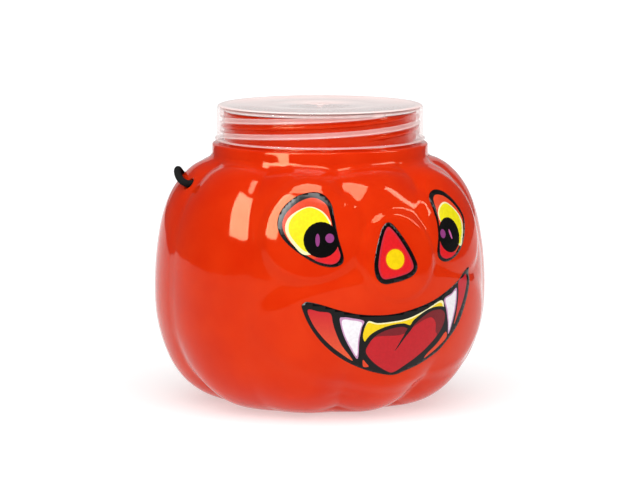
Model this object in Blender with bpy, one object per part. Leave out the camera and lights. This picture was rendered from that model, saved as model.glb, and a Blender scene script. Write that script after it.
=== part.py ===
"""A plastic pumpkin sweet jar: a blow-moulded lobed jar with a printed face on raised pads, a
screw lid with its sealing wad, and a cord handle knotted inside two shoulder holes.

The jar stands on z = 0 with its axis on Z. The face looks along -Y, and the line through the
handle's two holes is parallel to X, a little behind the axis. Lengths here are in millimetres
and angles in degrees; make_mesh turns them into metres.
"""

import math

import bpy
import numpy as np
from mathutils import Vector
from mathutils.geometry import delaunay_2d_cdt

MM = 0.001
GAP = 0.3

# Pumpkin body
LOBES = 10
LOBE_WIDTH = 360 / LOBES
FIRST_CREASE = LOBE_WIDTH / 2
WALL = 1.8
SKIN_RINGS = 25
INNER_RINGS = 15
SHOULDER_INSIDE = 139.0
AROUND = 60
BASE_FLAT = (30.0, 41.5)
BASE_RECESS = 2.6
# Radius and height along the crest of a lobe, from the standing ring up to the collar's root
CREST = [
    (41.5, 0.0),
    (49.0, 0.7),
    (58.0, 2.6),
    (67.6, 6.8),
    (76.8, 14.0),
    (83.9, 24.0),
    (89.1, 37.0),
    (92.0, 50.0),
    (92.8, 63.0),
    (92.4, 77.0),
    (91.0, 91.0),
    (88.4, 105.0),
    (84.2, 117.0),
    (78.6, 126.0),
    (72.4, 132.2),
    (67.2, 135.4),
    (62.8, 137.2),
    (60.2, 139.4),
]
# Height, and how deep the creases between the lobes are there
CREASE_DEPTH = [(0, 0.0), (3, 3.9), (12, 5.2), (25, 3.4), (45, 1.6), (85, 1.1), (112, 2.0), (128, 3.4),
                (136, 2.6), (139.4, 0.0)]
# Creases are shallower where they run under the face, and the one left of the mouth fades downwards
UNDER_FACE_FADE = 0.85
BESIDE_MOUTH_FADE = 0.75

# Collar, neck and thread
COLLAR_R = 60.2
COLLAR_Z = (140.0, 145.6)
NECK_R = 53.8
NECK_BORE_R = 51.6
NECK_TOP = 163.2
NECK_CORNER = 0.5
COLLAR_CORNER = 0.8
THREAD_STARTS = 2
THREAD_LEAD = 17.0
# How far a thread's root is sunk into its wall
THREAD_SINK = 0.8
NECK_THREAD_TIP = 55.1
NECK_THREAD_WIDTH = 2.4
NECK_THREAD_LOW = 150.4
NECK_THREAD_TURNS = 0.6

# Lid and wad
LID_BOTTOM = 147.0
LID_TOP = 166.8
LID_R = 57.6
LID_BEAD_R = 58.6
LID_INNER_R = 55.9
LID_PLATE = 1.6
LID_CORNER = 2.2
LID_INNER_CORNER = 1.0
LID_BEAD_TOP = 2.6
LID_RIM_CORNER = 0.4
LID_THREAD_TIP = 54.4
LID_THREAD_WIDTH = 3.0
LID_THREAD_LOW = 147.6
LID_THREAD_TURNS = 0.92
LID_THREAD_START = 45.0
WAD_R = 54.0
WAD_Z = (NECK_TOP + GAP, LID_TOP - LID_PLATE - GAP)

# Cord handle
HOLE_Z = 125.0
HOLE_R = 2.9
HOLE_CUT_AT = 80.0
HOLE_CUT_LENGTH = 30.0
CORD_D = 4.0
KNOT_R = 4.6
KNOT_AT = 65.0
# The line through both holes lies this far behind the jar's axis
HOLE_BACK = 8.0
# Route of the handle from its left end, through the left hole, round the back to the right end:
# angle round the jar from the front, radius, height
CORD_ROUTE = [
    (-96.6, 70.0, 125.0),
    (-96.2, 74.0, 125.0),
    (-96.0, 77.6, 125.1),
    (-97.0, 80.2, 126.2),
    (-100.4, 81.2, 128.3),
    (-105.5, 80.5, 130.1),
    (-111.0, 79.6, 130.6),
    (-117.5, 79.2, 129.8),
    (-125.0, 79.9, 128.0),
    (-134.0, 82.0, 125.0),
    (-144.0, 85.6, 120.0),
    (-154.0, 89.4, 112.5),
    (-163.5, 92.8, 103.0),
    (-172.0, 95.2, 93.5),
    (180.0, 96.4, 88.6),
    (172.0, 95.6, 91.5),
    (163.5, 93.8, 97.6),
    (154.5, 91.6, 105.0),
    (145.0, 88.8, 112.6),
    (135.0, 85.6, 119.6),
    (125.5, 82.8, 124.4),
    (117.0, 81.6, 127.6),
    (109.4, 82.4, 129.4),
    (103.0, 83.6, 129.2),
    (98.6, 83.4, 127.6),
    (96.4, 81.2, 125.7),
    (95.9, 77.8, 125.1),
    (96.2, 74.0, 125.0),
    (96.6, 70.0, 125.0),
]

# Raised pads under the print: centre angle, centre height, half angle, half height, rise
PADS = [
    (-30.0, 106.0, 15.5, 24.0, 1.5),
    (30.0, 106.0, 15.5, 24.0, 1.5),
    (0.5, 91.0, 12.5, 21.0, 2.4),
    (1.5, 52.0, 43.0, 29.0, 1.5),
]
PAD_EDGE = 0.3
PRINT_LIFT = 0.5
PRINT_THICK = 0.4
PRINT_STEP = 6.0
# Radius that turns an angle into a width across a printed piece
GIRTH_R = 90.0
# Outlines of the printed pieces as angle round the jar and height, walked anticlockwise
LEFT_EYE_OUTLINE = [(-29.5, 125.8), (-36.5, 123), (-41.4, 116), (-41.6, 107), (-37.1, 98.7), (-31, 91.8),
                    (-25, 87.6), (-20.6, 88.8), (-19.1, 93), (-20.6, 101), (-22, 113), (-24, 122.6)]
RIGHT_EYE_OUTLINE = [(24.2, 124.2), (20.2, 122.6), (18.1, 118.5), (18.4, 108), (17.3, 98.5), (16.6, 90.5),
                     (19.8, 86.6), (25.5, 88.7), (31, 95.5), (34.6, 106), (34.2, 113.5), (28.8, 121)]
NOSE_OUTLINE = [(-8, 81.5), (-5, 77.6), (1, 79.5), (7.5, 82.6), (8.8, 86.5), (5, 98), (1.5, 107.5),
                (-1.6, 108.6), (-4.5, 98)]
MOUTH_OUTLINE = [(-32.8, 66.4), (-31.2, 57.5), (-26.5, 47.5), (-18, 36.3), (-8, 30), (-0.3, 27.7), (9, 31.8),
                 (18, 38.6), (24.5, 48.5), (28.6, 58.5), (32.2, 70), (33.7, 79.2), (32.4, 81.2), (26.2, 75),
                 (14, 67), (5, 63.2), (-4.6, 61.4), (-14.2, 62.4), (-24, 66.2), (-30.9, 69.3)]


def smooth_line(points, per_span, closed=False):
    """Points along a Catmull-Rom curve through the given points."""
    points = np.array(points, float)
    if closed:
        padded = np.vstack([points[-1], points, points[:2]])
    else:
        padded = np.vstack([2 * points[0] - points[1], points, 2 * points[-1] - points[-2]])
    line = []
    for before, start, end, after in zip(padded, padded[1:], padded[2:], padded[3:]):
        for step in range(per_span):
            t = step / per_span
            line.append(
                0.5 * (2 * start + (end - before) * t
                       + (2 * before - 5 * start + 4 * end - after) * t**2
                       + (3 * start - before - 3 * end + after) * t**3)
            )
    if not closed:
        line.append(points[-1])
    return np.array(line)


def spaced(line, count):
    """The line read again at evenly spaced points."""
    steps = np.linalg.norm(np.diff(line, axis=0), axis=1)
    along = np.concatenate([[0], np.cumsum(steps)])
    wanted = np.linspace(0, along[-1], count)
    return np.column_stack([np.interp(wanted, along, column) for column in line.T])


CREST_LINE = smooth_line(CREST, 12)
CREST_TANGENT = np.gradient(CREST_LINE, axis=0)
CREST_NORMAL = np.column_stack([CREST_TANGENT[:, 1], -CREST_TANGENT[:, 0]])
CREST_NORMAL /= np.linalg.norm(CREST_NORMAL, axis=1)[:, None]


def smoothstep(low, high, value):
    t = min(max((value - low) / (high - low), 0.0), 1.0)
    return t * t * (3 - 2 * t)


def crease_inset(angle, height):
    """How far the skin dips between two lobes. The creases fade out under the face."""
    turn = (angle - FIRST_CREASE) % LOBE_WIDTH
    to_crease = min(turn, LOBE_WIDTH - turn)
    crease = angle - turn if turn < LOBE_WIDTH / 2 else angle - turn + LOBE_WIDTH
    crease = (crease + 180) % 360 - 180
    depth = np.interp(height, *zip(*CREASE_DEPTH))
    if abs(abs(crease) - FIRST_CREASE) < 1:
        depth *= 1 - UNDER_FACE_FADE * smoothstep(24, 40, height) * smoothstep(128, 114, height)
    if abs(crease + 1.5 * LOBE_WIDTH) < 1:
        depth *= 1 - BESIDE_MOUTH_FADE * smoothstep(70, 30, height)
    return depth * (1 - to_crease / (LOBE_WIDTH / 2)) ** 2


def pad_rise(angle, height):
    """How far the soft pads under the print lift the skin."""
    angle = (angle + 180) % 360 - 180
    rise = 0.0
    for centre_angle, centre_height, half_angle, half_height, top in PADS:
        away = math.hypot((angle - centre_angle) / half_angle, (height - centre_height) / half_height)
        rise = max(rise, top * smoothstep(1 + PAD_EDGE, 1, away))
    return rise


def around(angle, radius, height):
    """The point at this angle from the front, seen from above, where +X is 90."""
    turn = math.radians(angle)
    return (radius * math.sin(turn), -radius * math.cos(turn), height)


def skin_point(angle, height, lift):
    """The point of the lobed skin whose crest is at this height, raised along the skin's normal."""
    radius = np.interp(height, CREST_LINE[:, 1], CREST_LINE[:, 0])
    out = np.interp(height, CREST_LINE[:, 1], CREST_NORMAL[:, 0])
    up = np.interp(height, CREST_LINE[:, 1], CREST_NORMAL[:, 1])
    lift = lift + pad_rise(angle, height) - crease_inset(angle, height)
    return around(angle, radius + out * lift, height + up * lift)


def make_mesh(name, vertices, faces):
    mesh = bpy.data.meshes.new(name)
    mesh.from_pydata([tuple(c * MM for c in vertex) for vertex in vertices], [], faces)
    mesh.shade_smooth()
    mesh.set_sharp_from_angle(angle=math.radians(35))
    thing = bpy.data.objects.new(name, mesh)
    bpy.context.scene.collection.objects.link(thing)
    return thing


def loft(name, start_pole, rings, end_pole):
    """A closed skin from one pole through the rings to the other. The rings run anticlockwise seen
    from above, and the skin goes up the outside and down the inside."""
    count = len(rings[0])
    vertices = [start_pole] + [point for ring in rings for point in ring] + [end_pole]
    last = len(vertices) - 1
    faces = []
    for side in range(count):
        beside = (side + 1) % count
        faces.append((0, 1 + beside, 1 + side))
        for ring in range(len(rings) - 1):
            low = 1 + ring * count
            high = low + count
            faces.append((low + side, low + beside, high + beside, high + side))
        top = 1 + (len(rings) - 1) * count
        faces.append((top + side, top + beside, last))
    return make_mesh(name, vertices, faces)


def round_ring(radius, height):
    return [around(360 * side / AROUND, radius, height) for side in range(AROUND)]


def material(thing, colour, roughness, alpha=1.0, metallic=0.0):
    finish = bpy.data.materials.new(thing.name)
    finish.use_nodes = True
    shader = finish.node_tree.nodes["Principled BSDF"]
    shader.inputs["Base Color"].default_value = (*colour, 1)
    shader.inputs["Roughness"].default_value = roughness
    shader.inputs["Metallic"].default_value = metallic
    shader.inputs["Alpha"].default_value = alpha
    thing.data.materials.append(finish)


def combine(thing, helper, operation):
    helper.hide_render = True
    helper.display_type = "WIRE"
    modifier = thing.modifiers.new(helper.name, "BOOLEAN")
    modifier.object = helper
    modifier.operation = operation


def thread_ridge(name, root_r, tip_r, low, width, turns, start_angle):
    """A helical ridge of trapezium section, tapering to nothing at both ends."""
    segments = round(turns * AROUND)
    sections = []
    for step in range(segments + 1):
        share = step / segments
        fade = 0.25 + 0.75 * min(1.0, share * 8, (1 - share) * 8)
        tip = root_r + (tip_r - root_r) * fade
        angle = start_angle + 360 * turns * share
        middle = low + THREAD_LEAD * turns * share + width / 2
        sections.append([
            around(angle, root_r, middle - width / 2),
            around(angle, tip, middle - width / 4),
            around(angle, tip, middle + width / 4),
            around(angle, root_r, middle + width / 2),
        ])
    vertices = [point for section in sections for point in section]
    faces = [(0, 1, 2, 3)]
    for step in range(segments):
        here = 4 * step
        for side in range(4):
            beside = (side + 1) % 4
            faces.append((here + side, here + 4 + side, here + 4 + beside, here + beside))
    end = 4 * segments
    faces.append((end + 3, end + 2, end + 1, end))
    if tip_r < root_r:
        faces = [tuple(reversed(face)) for face in faces]
    return make_mesh(name, vertices, faces)


def build_jar():
    crest = spaced(CREST_LINE, SKIN_RINGS)
    angles = [360 * side / AROUND for side in range(AROUND)]
    rings = [
        round_ring(BASE_FLAT[0] - 4, BASE_RECESS),
        round_ring(BASE_FLAT[0], 0),
        round_ring(BASE_FLAT[1], 0),
    ]
    rings += [[skin_point(angle, height, 0) for angle in angles] for height in crest[1:, 1]]
    rings += [
        round_ring(COLLAR_R, COLLAR_Z[0]),
        round_ring(COLLAR_R, COLLAR_Z[1] - COLLAR_CORNER),
        round_ring(COLLAR_R - COLLAR_CORNER, COLLAR_Z[1]),
        round_ring(NECK_R, COLLAR_Z[1]),
        round_ring(NECK_R, NECK_TOP - NECK_CORNER),
        round_ring(NECK_R - NECK_CORNER, NECK_TOP),
        round_ring(NECK_BORE_R, NECK_TOP),
        round_ring(NECK_BORE_R, SHOULDER_INSIDE),
    ]
    inner = spaced(CREST_LINE, INNER_RINGS)[:0:-1]
    rings += [[skin_point(angle, height, -WALL) for angle in angles] for height in inner[1:-1, 1]]
    rings += [round_ring(BASE_FLAT[1], WALL + 0.3), round_ring(BASE_FLAT[0] - 1, BASE_RECESS + WALL)]
    jar = loft("jar_body", (0, 0, BASE_RECESS), rings, (0, 0, BASE_RECESS + WALL))
    material(jar, (0.80, 0.05, 0.012), 0.2)
    for start in range(THREAD_STARTS):
        ridge = thread_ridge(f"neck_thread_{start}", NECK_R - THREAD_SINK, NECK_THREAD_TIP, NECK_THREAD_LOW,
                             NECK_THREAD_WIDTH, NECK_THREAD_TURNS, 360 * start / THREAD_STARTS)
        combine(jar, ridge, "UNION")
    for side in (-1, 1):
        combine(jar, hole_cutter(side), "DIFFERENCE")
    return jar


def hole_cutter(side):
    bpy.ops.mesh.primitive_cylinder_add(
        vertices=16, radius=HOLE_R * MM, depth=HOLE_CUT_LENGTH * MM,
        location=(side * HOLE_CUT_AT * MM, HOLE_BACK * MM, HOLE_Z * MM), rotation=(0, math.pi / 2, 0),
    )
    cutter = bpy.context.object
    cutter.name = "hole_cutter_left" if side < 0 else "hole_cutter_right"
    return cutter


def build_lid():
    """The rings run from the ceiling down the inside, round the rim, up the outside and onto the plate."""
    outside = [(LID_BEAD_R - 0.7, LID_BOTTOM), (LID_BEAD_R, LID_BOTTOM + 0.6), (LID_BEAD_R, LID_BOTTOM + 1.5),
               (LID_R, LID_BOTTOM + LID_BEAD_TOP)]
    for step in range(5):
        turn = math.radians(90 * step / 4)
        inwards, down = LID_CORNER * (1 - math.cos(turn)), LID_CORNER * (1 - math.sin(turn))
        outside.append((LID_R - inwards, LID_TOP - down))
    ceiling = LID_TOP - LID_PLATE
    underside = [(LID_INNER_R - LID_INNER_CORNER, ceiling), (LID_INNER_R, ceiling - LID_INNER_CORNER),
                 (LID_INNER_R, LID_BOTTOM + LID_RIM_CORNER), (LID_INNER_R + LID_RIM_CORNER, LID_BOTTOM)]
    rings = [round_ring(radius, height) for radius, height in underside + outside]
    lid = loft("screw_lid", (0, 0, ceiling), rings, (0, 0, LID_TOP))
    material(lid, (0.93, 0.88, 0.85), 0.3, alpha=0.5)
    for start in range(THREAD_STARTS):
        ridge = thread_ridge(f"lid_thread_{start}", LID_INNER_R + THREAD_SINK, LID_THREAD_TIP,
                             LID_THREAD_LOW, LID_THREAD_WIDTH, LID_THREAD_TURNS,
                             LID_THREAD_START + 360 * start / THREAD_STARTS)
        combine(lid, ridge, "UNION")


def build_wad():
    low, high = WAD_Z
    rings = [round_ring(WAD_R, low), round_ring(WAD_R, high)]
    wad = loft("lid_wad", (0, 0, low), rings, (0, 0, high))
    material(wad, (0.92, 0.90, 0.86), 0.6)


def build_handle():
    """The cord and its two knots hang on one pivot that lies on the line through both holes."""
    pivot = bpy.data.objects.new("handle_pivot", None)
    pivot.location = (0, HOLE_BACK * MM, HOLE_Z * MM)
    bpy.context.scene.collection.objects.link(pivot)
    curve = bpy.data.curves.new("handle_cord", "CURVE")
    curve.dimensions = "3D"
    curve.bevel_depth = CORD_D / 2 * MM
    curve.bevel_resolution = 2
    curve.use_fill_caps = True
    route = smooth_line([around(*place) for place in CORD_ROUTE], 12)
    length = np.linalg.norm(np.diff(route, axis=0), axis=1).sum()
    points = spaced(route, 1 + int(length / CORD_D / 1.25 / 2) * 2)
    spline = curve.splines.new("POLY")
    spline.points.add(len(points) - 1)
    for place, point in zip(spline.points, points):
        place.co = (point[0] * MM, (point[1] - HOLE_BACK) * MM, (point[2] - HOLE_Z) * MM, 1)
    cord = bpy.data.objects.new("handle_cord", curve)
    bpy.context.scene.collection.objects.link(cord)
    cord.parent = pivot
    material(cord, (0.012, 0.012, 0.013), 0.8)
    for name, side in (("left_knot", -1), ("right_knot", 1)):
        bpy.ops.mesh.primitive_uv_sphere_add(segments=14, ring_count=9, radius=KNOT_R * MM)
        knot = bpy.context.object
        knot.name = name
        knot.location = (side * KNOT_AT * MM, 0, 0)
        knot.parent = pivot
        material(knot, (0.012, 0.012, 0.013), 0.8)


def build_print(name, outline, colour):
    """A thin printed piece that follows the skin over its pad."""
    edge = smooth_line(outline, 3, closed=True)
    lows = edge.min(axis=0)
    highs = edge.max(axis=0)
    step_angle = math.degrees(PRINT_STEP / GIRTH_R)
    inner = []
    for angle in np.arange(lows[0] + step_angle / 2, highs[0], step_angle):
        for height in np.arange(lows[1] + PRINT_STEP / 2, highs[1], PRINT_STEP):
            if inside(edge, angle, height) and away_from(edge, angle, height) > PRINT_STEP * 0.45:
                inner.append((angle, height))
    places = [Vector(point) for point in edge] + [Vector(point) for point in inner]
    rim = [(step, (step + 1) % len(edge)) for step in range(len(edge))]
    flat, _, triangles, _, _, _ = delaunay_2d_cdt(places, rim, [list(range(len(edge)))], 1, 0.0001)
    count = len(flat)
    vertices = [skin_point(angle, height, PRINT_LIFT + PRINT_THICK) for angle, height in flat]
    vertices += [skin_point(angle, height, PRINT_LIFT) for angle, height in flat]
    faces = [tuple(triangle) for triangle in triangles]
    faces += [tuple(count + corner for corner in reversed(triangle)) for triangle in triangles]
    border = {}
    for a, b, c in triangles:
        for pair in ((a, b), (b, c), (c, a)):
            border[pair] = border.pop(tuple(reversed(pair)), None) is None
    for (a, b), single in border.items():
        if single and (b, a) not in border:
            faces.append((b, a, count + a, count + b))
    printed = make_mesh(name, vertices, faces)
    material(printed, colour, 0.25)


def inside(edge, angle, height):
    crossings = 0
    for (x1, y1), (x2, y2) in zip(edge, np.roll(edge, -1, axis=0)):
        if (y1 > height) != (y2 > height) and angle < x1 + (height - y1) * (x2 - x1) / (y2 - y1):
            crossings += 1
    return crossings % 2 == 1


def away_from(edge, angle, height):
    """Distance in millimetres from the outline's points, near the jar's widest girth."""
    across = np.radians(edge[:, 0] - angle) * GIRTH_R
    return np.hypot(across, edge[:, 1] - height).min()


def main():
    for thing in list(bpy.data.objects):
        bpy.data.objects.remove(thing)
    build_jar()
    build_lid()
    build_wad()
    build_handle()
    build_print("eye_print_left", LEFT_EYE_OUTLINE, (0.9, 0.75, 0.05))
    build_print("eye_print_right", RIGHT_EYE_OUTLINE, (0.9, 0.75, 0.05))
    build_print("nose_print", NOSE_OUTLINE, (0.7, 0.03, 0.03))
    build_print("mouth_print", MOUTH_OUTLINE, (0.5, 0.02, 0.03))


main()
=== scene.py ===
import math

import bpy
import numpy as np
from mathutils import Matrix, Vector
from mathutils.geometry import delaunay_2d_cdt


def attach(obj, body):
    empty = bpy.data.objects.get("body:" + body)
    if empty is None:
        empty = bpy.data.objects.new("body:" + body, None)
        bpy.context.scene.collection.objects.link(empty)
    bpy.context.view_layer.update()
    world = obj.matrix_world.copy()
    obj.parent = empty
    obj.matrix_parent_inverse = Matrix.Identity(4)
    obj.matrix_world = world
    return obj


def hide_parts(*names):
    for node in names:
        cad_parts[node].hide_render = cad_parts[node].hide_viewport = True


# A blow-moulded pumpkin sweet jar with a printed face, a clear screw lid and a cord handle.
# Lengths in the constants and the shape functions are in millimetres and angles in degrees,
# with angle 0 at the front (-Y) and 90 at +X. add_mesh turns millimetres into metres.

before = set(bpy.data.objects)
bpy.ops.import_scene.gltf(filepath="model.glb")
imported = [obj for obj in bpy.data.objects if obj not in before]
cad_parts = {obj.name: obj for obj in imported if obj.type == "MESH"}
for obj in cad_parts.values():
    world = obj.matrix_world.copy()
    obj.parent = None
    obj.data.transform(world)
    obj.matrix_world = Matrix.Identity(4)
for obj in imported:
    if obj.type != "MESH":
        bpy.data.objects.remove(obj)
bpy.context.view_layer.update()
MM = 0.001

# Camera
CAMERA_ANGLE = -27.0
CAMERA_AWAY = 1.820
CAMERA_HEIGHT = 0.3308
CAMERA_AIM = 0.0902
CAMERA_LENS = 184.3

# Pumpkin body: radius and height along the crest of a lobe
LOBE_WIDTH = 36.0
FIRST_CREASE = 18.0
CREST = [
    (41.5, 0.0), (49.0, 0.7), (58.0, 2.6), (67.6, 6.8), (76.8, 14.0), (83.9, 24.0), (89.1, 37.0),
    (92.0, 50.0), (92.8, 63.0), (92.4, 77.0), (91.0, 91.0), (88.4, 105.0), (84.2, 117.0),
    (78.6, 126.0), (72.4, 132.2), (67.2, 135.4), (62.8, 137.2), (60.2, 139.4),
]
# Height, and how deep the creases between the lobes are there
CREASE_DEPTH = [
    (0, 0.0), (3, 3.9), (12, 5.2), (25, 3.4), (45, 1.6), (85, 1.1), (112, 2.0), (128, 3.4), (136, 2.6),
    (139.4, 0.0),
]
CREASE_SOFT = 0.05
# Creases are shallower where they run under the face, and the one left of the mouth fades downwards
UNDER_FACE_FADE = 0.85
BESIDE_MOUTH_FADE = 0.75
# Raised pads under the print: centre angle, centre height, half angle, half height, rise
PADS = [
    (-30.0, 106.0, 15.5, 24.0, 1.5),
    (30.0, 106.0, 15.5, 24.0, 1.5),
    (0.5, 91.0, 12.5, 21.0, 2.4),
    (1.5, 52.0, 43.0, 29.0, 1.5),
]
PAD_EDGE = 0.3
WALL = 1.8
BASE_FLAT = (30.0, 41.5)
BASE_RECESS = 2.6
SEAM_RISE = 0.12
SEAM_WIDTH = 0.7

# Collar, neck and threads
COLLAR_R = 60.2
COLLAR_TOP = 145.6
NECK_R = 53.8
NECK_BORE_R = 51.6
NECK_TOP = 163.2
THREAD_STARTS = 2
THREAD_LEAD = 17.0
# Lowest height, width, turns, first start's angle and relief of each thread
NECK_THREAD = (150.4, 2.4, 0.6, 0.0, 1.3)
LID_THREAD = (147.6, 3.0, 0.92, 45.0, 1.5)

# Lid and wad
LID_BOTTOM = 147.0
LID_TOP = 166.8
LID_R = 57.6
LID_BEAD_R = 58.6
LID_INNER_R = 55.9
LID_PLATE = 1.6
LID_CORNER = 2.2
HAZE_WALL = 0.0
HAZE_THREAD = 0.38
# Painted highlight: extra cloudiness along the flanks of the threads, which paints white glints there.
PAINTED_THREAD_GLINT = 0.5
HAZE_PLATE = 0.97
HAZE_BEAD = 0.40
WAD_R = 54.0
WAD_LOW = 163.5
WAD_HIGH = 164.9

# Cord
CORD_R = 2.0
CORD_PLAIT = 3.4
CORD_PLAIT_RELIEF = 0.28
KNOT_AT = 65.0
HOLE_R = 2.9
HOLE_BACK = 8.0
HOLE_Z = 125.0
# Angle round the jar, radius and height, from the left end, out of the left hole, round the back
# and in again
CORD_ROUTE = [
    (-96.6, 70.0, 125.0), (-96.2, 74.0, 125.0), (-96.0, 77.6, 125.1), (-97.0, 80.2, 126.2),
    (-100.4, 81.2, 128.3), (-105.5, 80.5, 130.1), (-111.0, 79.6, 130.6), (-117.5, 79.2, 129.8),
    (-125.0, 79.9, 128.0), (-134.0, 82.0, 125.0), (-144.0, 85.6, 120.0), (-154.0, 89.4, 112.5),
    (-163.5, 92.8, 103.0), (-172.0, 95.2, 93.5), (180.0, 96.4, 88.6), (172.0, 95.6, 91.5),
    (163.5, 93.8, 97.6), (154.5, 91.6, 105.0), (145.0, 88.8, 112.6), (135.0, 85.6, 119.6),
    (125.5, 82.8, 124.4), (117.0, 81.6, 127.6), (109.4, 82.4, 129.4), (103.0, 83.6, 129.2),
    (98.6, 83.4, 127.6), (96.4, 81.2, 125.7), (95.9, 77.8, 125.1), (96.2, 74.0, 125.0),
    (96.6, 70.0, 125.0),
]

# Printed face
FILM_LIFT = 0.2
FILM_THICK = 0.12
FILM_STEP = 1.6
MEAN_R = 90.0

# Colour of the plastic's reflections seen square on
WARM = (1.0, 0.78, 0.42)
FLOOR_R = 9.0
INK_STRENGTH = 0.78
BLACK = (0.002, 0.002, 0.002)


# --- Camera ---

def add_camera():
    turn = math.radians(CAMERA_ANGLE)
    data = bpy.data.cameras.new("camera")
    data.lens = CAMERA_LENS
    data.clip_start = 0.05
    data.clip_end = 60
    camera = bpy.data.objects.new("camera", data)
    camera.location = (CAMERA_AWAY * math.sin(turn), -CAMERA_AWAY * math.cos(turn), CAMERA_HEIGHT)
    look = Vector((0, 0, CAMERA_AIM)) - camera.location
    camera.rotation_euler = look.to_track_quat("-Z", "Y").to_euler()
    bpy.context.scene.collection.objects.link(camera)
    bpy.context.scene.camera = camera


# --- Curves and the lobed skin ---

def smooth_line(points, per_span, closed=False):
    """Points along a Catmull-Rom curve through the given points."""
    points = np.array(points, float)
    if closed:
        padded = np.vstack([points[-1], points, points[:2]])
    else:
        padded = np.vstack([2 * points[0] - points[1], points, 2 * points[-1] - points[-2]])
    line = []
    for before, start, end, after in zip(padded, padded[1:], padded[2:], padded[3:]):
        for step in range(per_span):
            t = step / per_span
            line.append(
                0.5 * (2 * start + (end - before) * t
                       + (2 * before - 5 * start + 4 * end - after) * t**2
                       + (3 * start - before - 3 * end + after) * t**3)
            )
    if not closed:
        line.append(points[-1])
    return np.array(line)


def spaced(line, count):
    """The line read again at evenly spaced points."""
    steps = np.linalg.norm(np.diff(line, axis=0), axis=1)
    along = np.concatenate([[0], np.cumsum(steps)])
    wanted = np.linspace(0, along[-1], count)
    return np.column_stack([np.interp(wanted, along, column) for column in line.T])


CREST_LINE = smooth_line(CREST, 12)
CREST_TANGENT = np.gradient(CREST_LINE, axis=0)
CREST_NORMAL = np.column_stack([CREST_TANGENT[:, 1], -CREST_TANGENT[:, 0]])
CREST_NORMAL /= np.linalg.norm(CREST_NORMAL, axis=1)[:, None]


def smoothstep(low, high, value):
    t = np.clip((value - low) / (high - low), 0.0, 1.0)
    return t * t * (3 - 2 * t)


def around(angle, radius, height):
    """The point at this angle from the front, seen from above, where +X is 90."""
    turn = np.radians(angle)
    return np.stack([radius * np.sin(turn), -radius * np.cos(turn), height + 0 * turn], axis=-1)


def crease_inset(angle, height):
    """How far the skin dips between two lobes. The creases fade out under the face."""
    turn = (angle - FIRST_CREASE) % LOBE_WIDTH
    to_crease = np.minimum(turn, LOBE_WIDTH - turn)
    crease = np.where(turn < LOBE_WIDTH / 2, angle - turn, angle - turn + LOBE_WIDTH)
    crease = (crease + 180) % 360 - 180
    depth = np.interp(height, *zip(*CREASE_DEPTH))
    under_face = UNDER_FACE_FADE * smoothstep(24, 40, height) * smoothstep(128, 114, height)
    beside_mouth = BESIDE_MOUTH_FADE * smoothstep(70, 30, height)
    depth = depth * np.where(abs(abs(crease) - FIRST_CREASE) < 1, 1 - under_face, 1)
    depth = depth * np.where(abs(crease + 1.5 * LOBE_WIDTH) < 1, 1 - beside_mouth, 1)
    share = np.hypot(to_crease / (LOBE_WIDTH / 2), CREASE_SOFT)
    return depth * np.clip(1 - share, 0, 1) ** 2


def pad_rise(angle, height):
    """How far the soft pads under the print lift the skin."""
    angle = (angle + 180) % 360 - 180
    rise = 0.0 * height
    for centre_angle, centre_height, half_angle, half_height, top in PADS:
        away = np.hypot((angle - centre_angle) / half_angle, (height - centre_height) / half_height)
        rise = np.maximum(rise, top * smoothstep(1 + PAD_EDGE, 1, away))
    return rise


def skin(angle, height, lift=0.0):
    """Points of the lobed skin whose crest is at these heights, raised along the skin's normal."""
    radius = np.interp(height, CREST_LINE[:, 1], CREST_LINE[:, 0])
    out = np.interp(height, CREST_LINE[:, 1], CREST_NORMAL[:, 0])
    up = np.interp(height, CREST_LINE[:, 1], CREST_NORMAL[:, 1])
    lift = lift + pad_rise(angle, height) - crease_inset(angle, height)
    return around(angle, radius + out * lift, height + up * lift)


def mould_seam(angle):
    """The fine parting line of the blow mould, which runs up both sides."""
    away = (abs(angle) - 90) * math.radians(MEAN_R)
    return SEAM_RISE * np.exp(-(away / SEAM_WIDTH) ** 2)


def thread_relief(angle, height, thread):
    """Share of the full relief, 0 to 1, of a thread of THREAD_STARTS helical ridges."""
    low, width, turns, first, _ = thread
    relief = 0.0 * height
    for start in range(THREAD_STARTS):
        behind = (angle - first - 360 * start / THREAD_STARTS) % 360 / 360
        ends = smoothstep(0, 0.04, behind) * smoothstep(turns, turns - 0.04, behind)
        middle = low + width / 2 + THREAD_LEAD * behind
        ridge = smoothstep(0.55 * width, 0.22 * width, abs(height - middle))
        relief = np.maximum(relief, ridge * ends)
    return relief


# --- Meshes ---

def add_mesh(name, points, faces, body, smooth=True):
    mesh = bpy.data.meshes.new(name)
    mesh.from_pydata((np.asarray(points) * MM).tolist(), [], faces)
    if smooth:
        mesh.shade_smooth()
    thing = bpy.data.objects.new(name, mesh)
    bpy.context.scene.collection.objects.link(thing)
    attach(thing, body)
    return thing


def revolved(name, rings, start_pole, end_pole, body):
    """A closed skin from pole to pole through the rings, which run anticlockwise seen from above."""
    rings = np.array(rings)
    count = rings.shape[1]
    points = np.vstack([start_pole, rings.reshape(-1, 3), end_pole])
    last = len(points) - 1
    faces = []
    for ring in range(len(rings) - 1):
        low = 1 + ring * count
        high = low + count
        for side in range(count):
            beside = (side + 1) % count
            faces.append((low + side, low + beside, high + beside, high + side))
    top = 1 + (len(rings) - 1) * count
    for side in range(count):
        beside = (side + 1) % count
        faces.append((0, 1 + beside, 1 + side))
        faces.append((top + side, top + beside, last))
    return add_mesh(name, points, faces, body)


def lathe(profile, angles):
    """Rings of a plain turned profile of (radius, height) points."""
    return [around(angles, radius + 0 * angles, height + 0 * angles) for radius, height in profile]


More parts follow.
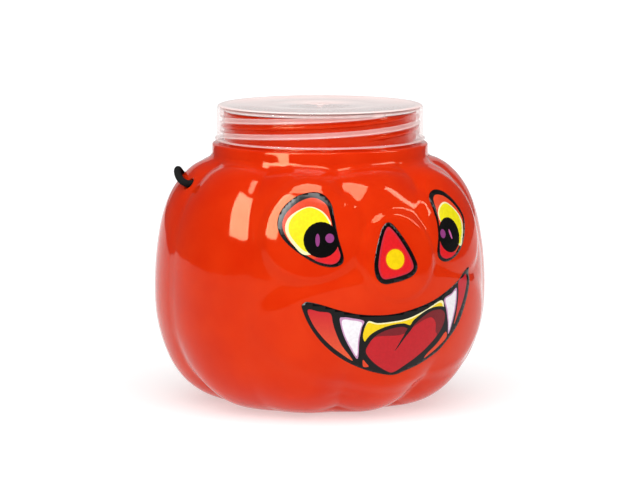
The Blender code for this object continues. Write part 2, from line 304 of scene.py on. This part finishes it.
def tube(name, line, radius, sides, plait, body, closed=False):
    """A round tube along the line, with the relief of a plaited cord."""
    tangents = np.gradient(line, axis=0)
    tangents /= np.linalg.norm(tangents, axis=1)[:, None]
    side = np.cross(tangents[0], (0.3, 0.2, 1.0))
    along = 0.0
    points = []
    turns = np.linspace(0, 2 * math.pi, sides, endpoint=False)
    for place, tangent, before in zip(line, tangents, np.vstack([line[:1], line[:-1]])):
        along += np.linalg.norm(place - before)
        side = side - tangent * np.dot(side, tangent)
        side /= np.linalg.norm(side)
        other = np.cross(tangent, side)
        wave = 2 * math.pi * along / plait
        strands = np.sin(4 * turns + wave) * np.sin(4 * turns - wave)
        reach = radius + CORD_PLAIT_RELIEF * (abs(strands) ** 0.7 - 0.7)
        outward = np.cos(turns)[:, None] * side + np.sin(turns)[:, None] * other
        points.append(place + reach[:, None] * outward)
    rings = np.array(points)
    count = len(rings)
    faces = []
    for ring in range(count if closed else count - 1):
        low = ring * sides
        high = (ring + 1) % count * sides
        for step in range(sides):
            beside = (step + 1) % sides
            faces.append((low + step, low + beside, high + beside, high + step))
    if not closed:
        faces.append(tuple(range(sides))[::-1])
        faces.append(tuple(range((count - 1) * sides, count * sides)))
    return add_mesh(name, rings.reshape(-1, 3), faces, body)


# --- Materials ---

def from_srgb(red, green, blue):
    """Linear colour from sRGB values of 0 to 255."""
    values = np.array([red, green, blue]) / 255
    return tuple(np.where(values < 0.04045, values / 12.92, ((values + 0.055) / 1.055) ** 2.4).tolist())


def add_material(name, roughness, specular=0.5):
    material = bpy.data.materials.new(name)
    material.use_nodes = True
    shader = material.node_tree.nodes["Principled BSDF"]
    shader.inputs["Roughness"].default_value = roughness
    shader.inputs["Specular IOR Level"].default_value = specular
    return material, shader


def noise(material, scale, detail=3.0):
    nodes = material.node_tree.nodes
    place = nodes.new("ShaderNodeTexCoord")
    texture = nodes.new("ShaderNodeTexNoise")
    texture.inputs["Scale"].default_value = scale
    texture.inputs["Detail"].default_value = detail
    material.node_tree.links.new(place.outputs["Object"], texture.inputs["Vector"])
    return texture.outputs["Fac"]


def ramp(material, factor, low, high, first, second):
    """A smooth blend from the first colour to the second as the factor goes from low to high."""
    node = material.node_tree.nodes.new("ShaderNodeValToRGB")
    node.color_ramp.elements[0].position = low
    node.color_ramp.elements[1].position = high
    node.color_ramp.elements[0].color = (*first, 1)
    node.color_ramp.elements[1].color = (*second, 1)
    material.node_tree.links.new(factor, node.inputs["Fac"])
    return node.outputs["Color"]


def add_bump(material, shader, factor, height, socket="Normal"):
    node = material.node_tree.nodes.new("ShaderNodeBump")
    node.inputs["Distance"].default_value = height
    material.node_tree.links.new(factor, node.inputs["Height"])
    material.node_tree.links.new(node.outputs["Normal"], shader.inputs[socket])


def grey(value):
    return (value, value, value)


def jar_plastic():
    """Glossy blow-moulded polythene, a little uneven in colour and gloss."""
    material, shader = add_material("jar plastic", 0.05, 0.2)
    links = material.node_tree.links
    colour = ramp(material, noise(material, 45), 0.3, 0.7, (0.56, 0.018, 0.001), (0.61, 0.026, 0.002))
    links.new(colour, shader.inputs["Base Color"])
    gloss = ramp(material, noise(material, 160), 0.3, 0.75, grey(0.04), grey(0.08))
    links.new(gloss, shader.inputs["Roughness"])
    add_bump(material, shader, noise(material, 60, 2), 0.00008)
    shader.inputs["Specular Tint"].default_value = (*WARM, 1)
    shader.inputs["Subsurface Weight"].default_value = 0.12
    shader.inputs["Subsurface Radius"].default_value = (0.010, 0.003, 0.001)
    shader.inputs["Subsurface Scale"].default_value = 1.0
    return material


def lid_plastic():
    """Clear plastic with fine scuffs, cloudy in its plate, threads and bead, with painted white glints
    along the flanks of the threads and a painted sheen where seen edge-on, which stands in for the
    plastic's reflection at grazing angles.
    """
    material, shader = add_material("lid plastic", 0.1)
    links = material.node_tree.links
    tint = ramp(material, noise(material, 70), 0.35, 0.7, (1.0, 0.76, 0.73), (1.0, 0.82, 0.79))
    links.new(tint, shader.inputs["Base Color"])
    gloss = ramp(material, noise(material, 400), 0.35, 0.8, grey(0.05), grey(0.14))
    links.new(gloss, shader.inputs["Roughness"])
    add_bump(material, shader, noise(material, 420, 2), 0.00003)
    # This attribute carries the plastic's cloudiness and the painted white glints along the thread flanks.
    haze_and_glint = material.node_tree.nodes.new("ShaderNodeAttribute")
    haze_and_glint.attribute_name = "haze_and_glint"
    # Painted sheen: the plastic turns more opaque and whiter where it is seen edge-on, standing in for its
    # reflection at grazing angles.
    rim = material.node_tree.nodes.new("ShaderNodeLayerWeight")
    rim.inputs["Blend"].default_value = 0.35
    edge_on_sheen = material.node_tree.nodes.new("ShaderNodeMapRange")
    edge_on_sheen.inputs["From Min"].default_value = 0.35
    edge_on_sheen.inputs["To Max"].default_value = 0.6
    links.new(rim.outputs["Facing"], edge_on_sheen.inputs["Value"])
    both = material.node_tree.nodes.new("ShaderNodeMath")
    both.operation = "ADD"
    both.use_clamp = True
    links.new(haze_and_glint.outputs["Fac"], both.inputs[0])
    links.new(edge_on_sheen.outputs["Result"], both.inputs[1])
    links.new(both.outputs["Value"], shader.inputs["Alpha"])
    return material


def wad_foam():
    material, shader = add_material("wad foam", 0.75, 0.2)
    cells = noise(material, 900, 4)
    colour = ramp(material, cells, 0.35, 0.7, (0.86, 0.82, 0.80), (0.95, 0.93, 0.92))
    material.node_tree.links.new(colour, shader.inputs["Base Color"])
    add_bump(material, shader, cells, 0.0002)
    return material


def cord_fibre():
    material, shader = add_material("cord fibre", 0.9, 0.08)
    fibres = noise(material, 2600, 5)
    colour = ramp(material, fibres, 0.3, 0.75, grey(0.002), grey(0.008))
    material.node_tree.links.new(colour, shader.inputs["Base Color"])
    add_bump(material, shader, fibres, 0.00015)
    return material


def ink(name, colour, second=None):
    """Glossy printed ink with a fine mottle. A second colour comes in from the top of the jar downwards."""
    material, shader = add_material(f"ink {name}", 0.2, 0.2)
    links = material.node_tree.links
    colour = tuple(INK_STRENGTH * channel for channel in colour)
    darker = tuple(0.9 * channel for channel in colour)
    mottle = ramp(material, noise(material, 700, 2), 0.35, 0.65, darker, colour)
    if second:
        nodes = material.node_tree.nodes
        place = nodes.new("ShaderNodeTexCoord")
        parts = nodes.new("ShaderNodeSeparateXYZ")
        links.new(place.outputs["Object"], parts.inputs["Vector"])
        height = nodes.new("ShaderNodeMapRange")
        height.inputs["From Min"].default_value = second[1] * MM
        height.inputs["From Max"].default_value = second[2] * MM
        links.new(parts.outputs["Z"], height.inputs["Value"])
        mix = nodes.new("ShaderNodeMix")
        mix.data_type = "RGBA"
        links.new(height.outputs["Result"], mix.inputs["Factor"])
        links.new(mottle, mix.inputs["A"])
        mix.inputs["B"].default_value = (*(INK_STRENGTH * channel for channel in second[0]), 1)
        mottle = mix.outputs["Result"]
    links.new(mottle, shader.inputs["Base Color"])
    add_bump(material, shader, noise(material, 300, 2), 0.00005)
    return material


# --- Jar ---

def add_jar():
    angles = np.arange(0, 360, 1.0)
    wide = angles + 0.0
    wide[wide > 180] -= 360
    base = [(BASE_FLAT[0] - 4, BASE_RECESS), (BASE_FLAT[0] - 1, 0.5), (BASE_FLAT[0], 0), (BASE_FLAT[1], 0)]
    rings = lathe(base, angles)
    for height in spaced(CREST_LINE, 150)[1:-1, 1]:
        rings.append(skin(wide, height + 0 * wide, mould_seam(wide)))
    collar = [(COLLAR_R, 140.0), (COLLAR_R, COLLAR_TOP - 1.2), (COLLAR_R - 0.3, COLLAR_TOP - 0.5),
              (COLLAR_R - 1.0, COLLAR_TOP - 0.1), (NECK_R + 1, COLLAR_TOP), (NECK_R, COLLAR_TOP + 0.8)]
    rings += lathe(collar, angles)
    for height in np.arange(COLLAR_TOP + 1.4, NECK_TOP - 0.7, 0.35):
        level = height + 0 * angles
        relief = NECK_THREAD[4] * thread_relief(angles, level, NECK_THREAD)
        rings.append(around(angles, NECK_R + relief, level))
    lip = [(NECK_R - 0.2, NECK_TOP - 0.2), (NECK_R - 0.7, NECK_TOP), (NECK_BORE_R + 0.4, NECK_TOP),
           (NECK_BORE_R, NECK_TOP - 0.5), (NECK_BORE_R, 139.0)]
    rings += lathe(lip, angles)
    for height in spaced(CREST_LINE, 60)[-2:0:-1, 1]:
        rings.append(skin(wide, height + 0 * wide, -WALL))
    rings += lathe([(BASE_FLAT[1], WALL + 0.3), (BASE_FLAT[0] - 1, BASE_RECESS + WALL)], angles)
    jar = revolved("jar", rings, (0, 0, BASE_RECESS), (0, 0, BASE_RECESS + WALL), "jar")
    jar.data.materials.append(jar_plastic())
    for side in (-1, 1):
        cut_hole(jar, side)
    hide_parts("jar_body")


def cut_hole(jar, side):
    bpy.ops.mesh.primitive_cylinder_add(
        vertices=40, radius=HOLE_R * MM, depth=0.03,
        location=(side * 80 * MM, HOLE_BACK * MM, HOLE_Z * MM), rotation=(0, math.pi / 2, 0),
    )
    cutter = bpy.context.object
    modifier = jar.modifiers.new("hole", "BOOLEAN")
    modifier.object = cutter
    modifier.operation = "DIFFERENCE"
    modifier.solver = "EXACT"
    bpy.context.view_layer.objects.active = jar
    bpy.ops.object.modifier_apply(modifier=modifier.name)
    bpy.data.objects.remove(cutter)


# --- Lid ---

def add_lid():
    angles = np.arange(0, 360, 1.5)
    ceiling = LID_TOP - LID_PLATE
    rings = lathe([(6.0, ceiling), (40.0, ceiling), (LID_INNER_R - 1, ceiling)], angles)
    for height in np.arange(ceiling - 0.4, LID_BOTTOM + 0.5, -0.35):
        level = height + 0 * angles
        relief = LID_THREAD[4] * thread_relief(angles, level, LID_THREAD)
        rings.append(around(angles, LID_INNER_R - relief, level))
    bead = [(LID_INNER_R + 0.4, LID_BOTTOM), (LID_BEAD_R - 0.7, LID_BOTTOM), (LID_BEAD_R, LID_BOTTOM + 0.6),
            (LID_BEAD_R, LID_BOTTOM + 1.4), (LID_R + 0.2, LID_BOTTOM + 2.0), (LID_R, LID_BOTTOM + 2.6)]
    wall = [(LID_R, 156.0), (LID_R, LID_TOP - LID_CORNER - 0.3)]
    rings += lathe(bead + wall, angles)
    for turn in np.linspace(0, 90, 8):
        turn = math.radians(turn)
        radius = LID_R - LID_CORNER * (1 - math.cos(turn))
        rings += lathe([(radius, LID_TOP - LID_CORNER * (1 - math.sin(turn)))], angles)
    panel = LID_TOP - 0.25
    plate = [(LID_R - 5, LID_TOP), (LID_R - 5.8, panel), (30, panel), (5.5, panel)]
    gate = [(4.8, LID_TOP - 0.55), (2.2, LID_TOP - 0.55), (1.6, LID_TOP - 0.1)]
    rings += lathe(plate + gate, angles)
    lid = revolved("lid", rings, (0, 0, ceiling), (0, 0, LID_TOP - 0.1), "lid")
    lid.data.materials.append(lid_plastic())
    add_haze_and_glint(lid)
    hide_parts("screw_lid")


def add_haze_and_glint(lid):
    """How cloudy the plastic is at each point, with painted white glints along the flanks of the threads,
    as an attribute that its material reads.
    """
    x, y, height = np.array([vertex.co for vertex in lid.data.vertices]).T / MM
    radius = np.hypot(x, y)
    angle = np.degrees(np.arctan2(x, -y))
    thread = thread_relief(angle, height, LID_THREAD) * (radius < LID_INNER_R + 0.2)
    # Painted highlight: the flanks of each thread ridge are made cloudier, painting white glints along the
    # edges of the bands.
    haze_and_glint = HAZE_WALL + (HAZE_THREAD - HAZE_WALL) * thread + PAINTED_THREAD_GLINT * 4 * thread * (1 - thread)
    plate = smoothstep(LID_TOP - 2.4, LID_TOP - 1.2, height) * (radius < LID_R - 0.5)
    haze_and_glint = np.maximum(haze_and_glint, HAZE_PLATE * plate)
    haze_and_glint = np.maximum(haze_and_glint, HAZE_BEAD * smoothstep(LID_BOTTOM + 1.0, LID_BOTTOM + 0.4, height))
    lid.data.attributes.new("haze_and_glint", "FLOAT", "POINT").data.foreach_set("value", haze_and_glint)


def add_wad():
    angles = np.arange(0, 360, 3.0)
    rings = lathe([(WAD_R - 0.3, WAD_LOW), (WAD_R, WAD_LOW + 0.3), (WAD_R, WAD_HIGH - 0.3),
                   (WAD_R - 0.3, WAD_HIGH)], angles)
    wad = revolved("wad", rings, (0, 0, WAD_LOW), (0, 0, WAD_HIGH), "lid_rise")
    wad.data.materials.append(wad_foam())
    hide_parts("lid_wad")


# --- Cord and knots ---

def add_cord():
    fibre = cord_fibre()
    for side, name in ((-1, "left_knot"), (1, "right_knot")):
        turn = np.linspace(0, 2 * math.pi, 150, endpoint=False)
        loop = np.column_stack([-np.sin(3 * turn), np.sin(turn) + 2 * np.sin(2 * turn),
                                np.cos(turn) - 2 * np.cos(2 * turn)])
        centre = np.array([side * KNOT_AT, HOLE_BACK, HOLE_Z])
        line = 1.05 * loop + centre
        knot = tube(f"{name}_tied", line, CORD_R - 0.2, 16, CORD_PLAIT, "handle", closed=True)
        knot.data.materials.append(fibre)
        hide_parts(name)
    route = smooth_line(around(*np.array(CORD_ROUTE).T), 12)
    length = np.linalg.norm(np.diff(route, axis=0), axis=1).sum()
    line = spaced(route, int(length / 0.4))
    cord = tube("cord", line, CORD_R, 24, CORD_PLAIT, "handle")
    cord.data.materials.append(fibre)
    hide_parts("handle_cord")


# --- Printed face ---

def inside(outline, points):
    """Which of the points lie inside the closed outline."""
    x, y = points[:, 0, None], points[:, 1, None]
    ends = np.roll(outline, -1, axis=0)
    crosses = (outline[:, 1] > y) != (ends[:, 1] > y)
    rise = np.where(ends[:, 1] == outline[:, 1], 1, ends[:, 1] - outline[:, 1])
    at = outline[:, 0] + (y - outline[:, 1]) / rise * (ends[:, 0] - outline[:, 0])
    return (crosses & (x < at)).sum(axis=1) % 2 == 1


def ellipse(angle, height, half_angle, half_height, lean=0.0):
    """Outline of an ellipse. Lean tilts its top towards larger angles, in millimetres at its top."""
    turn = np.linspace(0, 2 * math.pi, 24, endpoint=False)
    shift = np.degrees(lean / MEAN_R) * np.sin(turn)
    return np.column_stack([angle + half_angle * np.cos(turn) + shift, height + half_height * np.sin(turn)])


def curve(*points):
    return smooth_line(points, 5, closed=True)


def add_film(name, node, regions):
    """One printed piece draped on the skin. The regions are (outline, ink), each laid over the ones
    before it, and the first is the outline of the whole piece."""
    scale = math.radians(MEAN_R)
    outlines = [np.asarray(outline) * (scale, 1) for outline, _ in regions]
    whole = outlines[0]
    places, edges = [], []
    for outline in outlines:
        first = len(places)
        places += outline.tolist()
        edges += [(first + step, first + (step + 1) % len(outline)) for step in range(len(outline))]
    lows, highs = whole.min(axis=0), whole.max(axis=0)
    columns = np.arange(lows[0] + FILM_STEP / 2, highs[0], FILM_STEP)
    rows = np.arange(lows[1] + FILM_STEP / 2, highs[1], FILM_STEP)
    grid = np.stack(np.meshgrid(columns, rows), axis=-1).reshape(-1, 2)
    places += grid[inside(whole, grid)].tolist()
    flat, _, triangles, _, _, _ = delaunay_2d_cdt([Vector(place) for place in places], edges, [], 0, 0.001)
    flat = np.array([tuple(place) for place in flat])
    triangles = np.array([tuple(triangle) for triangle in triangles])
    centres = flat[triangles].mean(axis=1)
    kept = inside(whole, centres)
    triangles, centres = triangles[kept], centres[kept]
    layer = np.zeros(len(triangles), int)
    for number, outline in enumerate(outlines):
        layer[inside(outline, centres)] = number
    count = len(flat)
    top = skin(flat[:, 0] / scale, flat[:, 1], FILM_LIFT)
    under = skin(flat[:, 0] / scale, flat[:, 1], FILM_LIFT - FILM_THICK)
    sides = set()
    for triangle in triangles.tolist():
        sides.update(zip(triangle, triangle[1:] + triangle[:1]))
    rim = sorted(pair for pair in sides if pair[::-1] not in sides)
    faces = triangles.tolist()
    faces += [[c + count, b + count, a + count] for a, b, c in triangles.tolist()]
    faces += [[end, start, start + count, end + count] for start, end in rim]
    film = add_mesh(name, np.vstack([top, under]), faces, "jar")
    inks = []
    for _, finish in regions:
        if finish not in inks:
            inks.append(finish)
            film.data.materials.append(finish)
    slots = [inks.index(regions[number][1]) for number in layer]
    slots += slots + [inks.index(regions[0][1])] * len(rim)
    film.data.polygons.foreach_set("material_index", slots)
    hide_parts(node)


def add_face():
    black = ink("black", BLACK)
    yellow = ink("yellow", from_srgb(250, 236, 20))
    cream = ink("cream", from_srgb(255, 246, 190))
    orange = ink("orange", from_srgb(236, 72, 34))
    red = ink("red", from_srgb(232, 30, 36))
    lilac = ink("lilac", from_srgb(205, 150, 190))
    rose = ink("rose", from_srgb(205, 44, 62))
    purple = ink("purple", from_srgb(150, 62, 130))
    pink = ink("pink", from_srgb(205, 100, 165))
    white = ink("white", from_srgb(250, 246, 250))
    tongue_red = ink("tongue red", from_srgb(200, 26, 36))
    tongue_dark = ink("tongue dark", from_srgb(125, 22, 30))
    mouth_red = ink("mouth red", from_srgb(238, 92, 50), (from_srgb(200, 24, 40), 38, 66))
    gold = ink("gold", from_srgb(250, 214, 10))

    add_film("left_eye", "eye_print_left", [
        (curve((-29.5, 125.8), (-36, 123.3), (-40.8, 117), (-41.9, 109), (-39.4, 101.8),
               (-34, 94.8), (-28, 89.3), (-23, 87.6), (-19.8, 89.3), (-19.2, 93.5), (-20.8, 103),
               (-21.9, 113), (-22.8, 120), (-25.4, 124.5)), black),
        (curve((-29.4, 123), (-34.6, 120.8), (-38.8, 115.5), (-40.1, 109), (-37.8, 101.8),
               (-33.2, 95.6), (-28.4, 91.3), (-23.8, 89.3), (-20.9, 90.9), (-20.4, 94.6),
               (-22, 103), (-23.4, 114), (-24.9, 120)), orange),
        (curve((-30.8, 118.6), (-35.2, 116.3), (-38.4, 112), (-38.9, 106), (-36, 99.2), (-32, 94),
               (-27.5, 97), (-23.4, 108), (-23.9, 112.6), (-26.6, 116.8)), cream),
        (curve((-30.8, 118.2), (-34.6, 116), (-37.3, 111.8), (-37.7, 106), (-35, 100),
               (-31.4, 95.6), (-27.5, 98), (-24, 108), (-24.3, 112), (-26.8, 116.2)), yellow),
        (curve((-28.9, 91.9), (-25.2, 93.8), (-22.7, 96.6), (-21.6, 98.9), (-20.2, 94.2),
               (-21, 90.6), (-23.2, 89.1), (-26.6, 90)), rose),
        (curve((-28, 91.5), (-25, 93), (-22.6, 95.4), (-21.6, 97), (-20.5, 94), (-21.2, 91),
               (-23.4, 89.6), (-26.3, 90.3)), red),
        (ellipse(-26.6, 101.8, 6.0, 9.3), black),
        (ellipse(-27.8, 101.7, 0.75, 3.3), purple),
        (ellipse(-23.7, 102.7, 1.5, 2.4), purple),
    ])
    add_film("right_eye", "eye_print_right", [
        (curve((23.8, 124.3), (28.2, 122), (32.3, 115.6), (34.8, 109), (34, 103), (31.4, 96),
               (27.2, 90), (22.6, 87.1), (19.2, 86.8), (17, 89.2), (16.5, 93.4), (17.7, 100),
               (18.3, 108), (18, 117.5), (19.8, 122.4)), black),
        (curve((23.6, 121.6), (27, 119.8), (30.8, 114.8), (33.4, 108.6), (32.6, 103), (29.8, 96.4),
               (25.8, 90.7), (21.9, 88.3), (19.3, 88.6), (17.7, 91.4), (18, 96), (19.2, 107),
               (19.8, 117.6), (21.3, 120.9)), orange),
        (curve((25.6, 117.4), (29.2, 114.2), (32.2, 109), (32.7, 104), (31, 97.6), (28.6, 93.6),
               (22, 103), (19.7, 110.6), (21.6, 115.6)), cream),
        (curve((25.6, 116.6), (28.8, 113.8), (31.4, 109), (31.8, 104), (30.2, 98), (28.2, 95),
               (22, 103), (20.2, 110.4), (21.9, 114.9)), yellow),
        (curve((18.2, 97), (20, 93.6), (23, 91.6), (25.9, 90.6), (23, 88.5), (19.6, 88.4),
               (17.7, 91)), rose),
        (curve((18.5, 95.8), (20, 93), (22.6, 91.2), (24.8, 90.2), (22.6, 88.8), (19.8, 88.9),
               (18, 91.2)), red),
        (ellipse(23.6, 100.3, 5.6, 9.3), black),
        (ellipse(20.2, 101.5, 1.3, 2.4), purple),
        (ellipse(24.1, 100.7, 0.5, 2.7, -0.8), pink),
    ])
    add_film("nose", "nose_print", [
        (curve((-2.8, 109.8), (-0.4, 107), (2.6, 100.4), (5.4, 92.6), (6.8, 86), (5.2, 81.8),
               (1.6, 79.5), (-2, 78.4), (-5.6, 77.9), (-8.1, 80.6), (-9, 86), (-8.6, 92.6),
               (-7.2, 100.6), (-5.2, 107.4)), black),
        (curve((-2.8, 107.4), (-0.4, 103.4), (2, 97.6), (4.1, 91.6), (5.2, 86.2), (3.7, 83.4),
               (0.4, 81.8), (-2.9, 80.8), (-5.8, 80.6), (-7.1, 83), (-7.6, 87.4), (-7, 94.2),
               (-5.8, 100.8), (-4.3, 105.8)), rose),
        (curve((-2.8, 106.2), (-0.8, 102.8), (1.4, 97.2), (3.4, 91.4), (4.5, 86.4), (3.2, 84),
               (0.2, 82.5), (-3, 81.5), (-5.6, 81.3), (-6.6, 83.4), (-7, 87.6), (-6.4, 94),
               (-5.3, 100.4), (-4, 104.8)), red),
        (ellipse(-1.5, 90.6, 3.7, 5.9), orange),
        (ellipse(-1.5, 90.6, 3.3, 5.3), gold),
    ])
    add_film("mouth", "mouth_print", [
        (curve((-32.9, 66.2), (-32.4, 68.4), (-30.9, 69.3), (-26.6, 67.8), (-21.2, 65),
               (-14.9, 62.5), (-8, 61.4), (-1.7, 61.6), (5.5, 63.5), (13.5, 66.8), (20.8, 71.5),
               (26.2, 75.6), (32.4, 81.2), (33.7, 79.2), (33, 72.6), (31, 65), (28.6, 57.7),
               (25.8, 50.8), (21.8, 44.3), (17.4, 38), (10.8, 32.6), (4.6, 29.6), (-0.3, 27.8),
               (-6.5, 29.4), (-12.3, 32.2), (-17.9, 36.5), (-23.2, 42.5), (-27.4, 49.4),
               (-30.7, 57.4)), black),
        (curve((-30.9, 65.2), (-27.4, 64.2), (-23.7, 63.2), (-22.9, 58.5), (-22, 53.6),
               (-19.8, 45.8), (-15.8, 37.2), (-19.7, 41), (-24.1, 46.8), (-27.8, 53.6),
               (-30.1, 60)), mouth_red),
        (curve((-20.6, 59.8), (-19.4, 61), (-16.6, 60.4), (-12.6, 58.7), (-13.3, 55), (-14, 47.6),
               (-14.2, 38.2), (-16.6, 43), (-19.3, 51.4)), lilac),
        (curve((-19.8, 59.2), (-16.6, 59.2), (-13.3, 57.8), (-13.8, 54), (-14.4, 47.6),
               (-14.5, 39.8), (-16.4, 44), (-18.9, 51.6)), white),
        (curve((-11.4, 58), (-8, 57.2), (-3.5, 57.4), (3.1, 58.6), (9.7, 62), (17.1, 66.3),
               (18.5, 61.4), (19, 56), (11, 49), (3.8, 44.4), (-5, 43), (-12.3, 48.1)), cream),
        (curve((-11.5, 57.2), (-8, 56.5), (-3.5, 56.7), (3.1, 57.8), (9.7, 61.2), (16.6, 65.2),
               (18.2, 60.4), (19, 56), (11, 49), (3.8, 44.4), (-5, 43), (-12.4, 48.1)), gold),
        (curve((-12.3, 37.4), (-11.1, 35.6), (-10, 33.4), (-11.9, 33.4)), orange),
        (curve((19.8, 48.6), (20.8, 45.6), (18, 41.6), (14, 37.4), (11.8, 35.4), (12.8, 38.2),
               (16.6, 43)), orange),
        (curve((3.9, 54.9), (1.6, 56.1), (-1.8, 56), (-6, 54.6), (-10, 51.5), (-12.2, 47),
               (-13, 42), (-11.2, 36.8), (-7.8, 32.2), (-3.6, 28.9), (-0.5, 27.9), (4, 30.8),
               (8.8, 35.3), (13.4, 40.7), (17.3, 46.6), (19.7, 52.4), (20.3, 58), (19, 62),
               (15.6, 63.3), (11.2, 62.4), (7.2, 59.4), (5, 57)), black),
        (curve((3.7, 53), (1.3, 54.3), (-1.6, 54.1), (-5.2, 52.9), (-8.7, 50.1), (-10.8, 46),
               (-11.6, 42.1), (-10, 38), (-6.9, 33.7), (-3.2, 30.3), (-0.5, 29.2), (3.2, 32.1),
               (7.8, 36.5), (12.1, 41.6), (16, 47.4), (18.3, 52.7), (19, 57.5), (18, 60.5),
               (15.3, 61.6), (11.9, 60.8), (8.2, 57.9), (5.7, 55)), tongue_dark),
        (curve((2.6, 51), (-0.5, 49.9), (-5.1, 50.1), (-8.7, 49.6), (-10.6, 46), (-11.5, 42.1),
               (-9.9, 38), (-6.8, 33.8), (-3.1, 30.5), (-0.5, 29.4), (3.1, 32.3), (7.7, 36.7),
               (12, 41.8), (15.6, 47.4), (14.9, 50), (14.6, 54.7), (12.6, 57.8), (9.4, 56.9),
               (6.3, 54.6), (4.4, 52.8)), tongue_red),
        (curve((5.6, 55.6), (3.4, 53.8), (1.5, 49), (-1.1, 41.3), (2.4, 48.6), (4.6, 52.6)), black),
        (curve((18.5, 66.7), (22.1, 69.1), (24.9, 71.6), (24.7, 63.4), (23.1, 53.9), (21.5, 47.1),
               (20.6, 53.6), (19.5, 60.9)), lilac),
        (curve((19.1, 66.4), (22, 68.2), (24.4, 70.2), (24.1, 63.4), (22.6, 54), (21.5, 49),
               (21, 53.8), (20.1, 60.9)), white),
        (curve((26.1, 74.9), (29, 76.6), (31.4, 77.8), (30.8, 71.9), (28.5, 64), (25.9, 57.1),
               (23.9, 52), (24.9, 58.4), (25.9, 67.7)), mouth_red),
    ])


# --- Studio ---

def add_area_light(name, angle, height_angle, away, size, power):
    """A soft rectangular light at this angle round the jar and above the horizon, facing the jar."""
    data = bpy.data.lights.new(name, "AREA")
    data.shape = "RECTANGLE"
    data.size, data.size_y = size
    data.energy = power
    lamp = bpy.data.objects.new(name, data)
    turn, rise = math.radians(angle), math.radians(height_angle)
    flat = away * math.cos(rise)
    aim = Vector((0, 0, 0.09))
    lamp.location = aim + Vector((flat * math.sin(turn), -flat * math.cos(turn), away * math.sin(rise)))
    lamp.rotation_euler = (aim - lamp.location).to_track_quat("-Z", "Y").to_euler()
    lamp.visible_diffuse = False
    bpy.context.scene.collection.objects.link(lamp)


def add_studio():
    mesh = bpy.data.meshes.new("floor")
    turns = np.linspace(0, 2 * math.pi, 96, endpoint=False)
    rim = [(FLOOR_R * math.cos(turn), FLOOR_R * math.sin(turn), 0) for turn in turns]
    mesh.from_pydata(rim, [], [tuple(range(96))])
    floor = bpy.data.objects.new("floor", mesh)
    bpy.context.scene.collection.objects.link(floor)
    material, shader = add_material("floor paper", 0.9, 0.1)
    paper = ramp(material, noise(material, 3), 0.3, 0.7, grey(0.58), grey(0.60))
    material.node_tree.links.new(paper, shader.inputs["Base Color"])
    shader.inputs["Emission Color"].default_value = (1, 1, 1, 1)
    shader.inputs["Emission Strength"].default_value = 0.5
    floor.data.materials.append(material)
    world = bpy.data.worlds.new("soft studio")
    world.use_nodes = True
    world.node_tree.nodes["Background"].inputs["Color"].default_value = (1, 1, 1, 1)
    world.node_tree.nodes["Background"].inputs["Strength"].default_value = 0.14
    bpy.context.scene.world = world
    sun = bpy.data.lights.new("soft sun", "SUN")
    sun.energy = 3.9
    sun.angle = math.radians(100)
    lamp = bpy.data.objects.new("soft sun", sun)
    lamp.rotation_euler = (math.radians(38), 0, math.radians(-27))
    lamp.visible_glossy = False
    bpy.context.scene.collection.objects.link(lamp)
    add_area_light("window", -74, 38, 1.5, (0.68, 1.25), 72)
    add_area_light("overhead", -40, 74, 1.4, (0.8, 0.5), 20)
    add_area_light("right panel", 62, 40, 1.8, (0.25, 1.2), 16)
    add_area_light("back panel", 153, 12, 2.2, (2.4, 0.8), 3)
    bpy.context.scene.view_settings.view_transform = "Standard"


add_camera()
add_cord()
add_jar()
add_lid()
add_wad()
add_face()
add_studio()
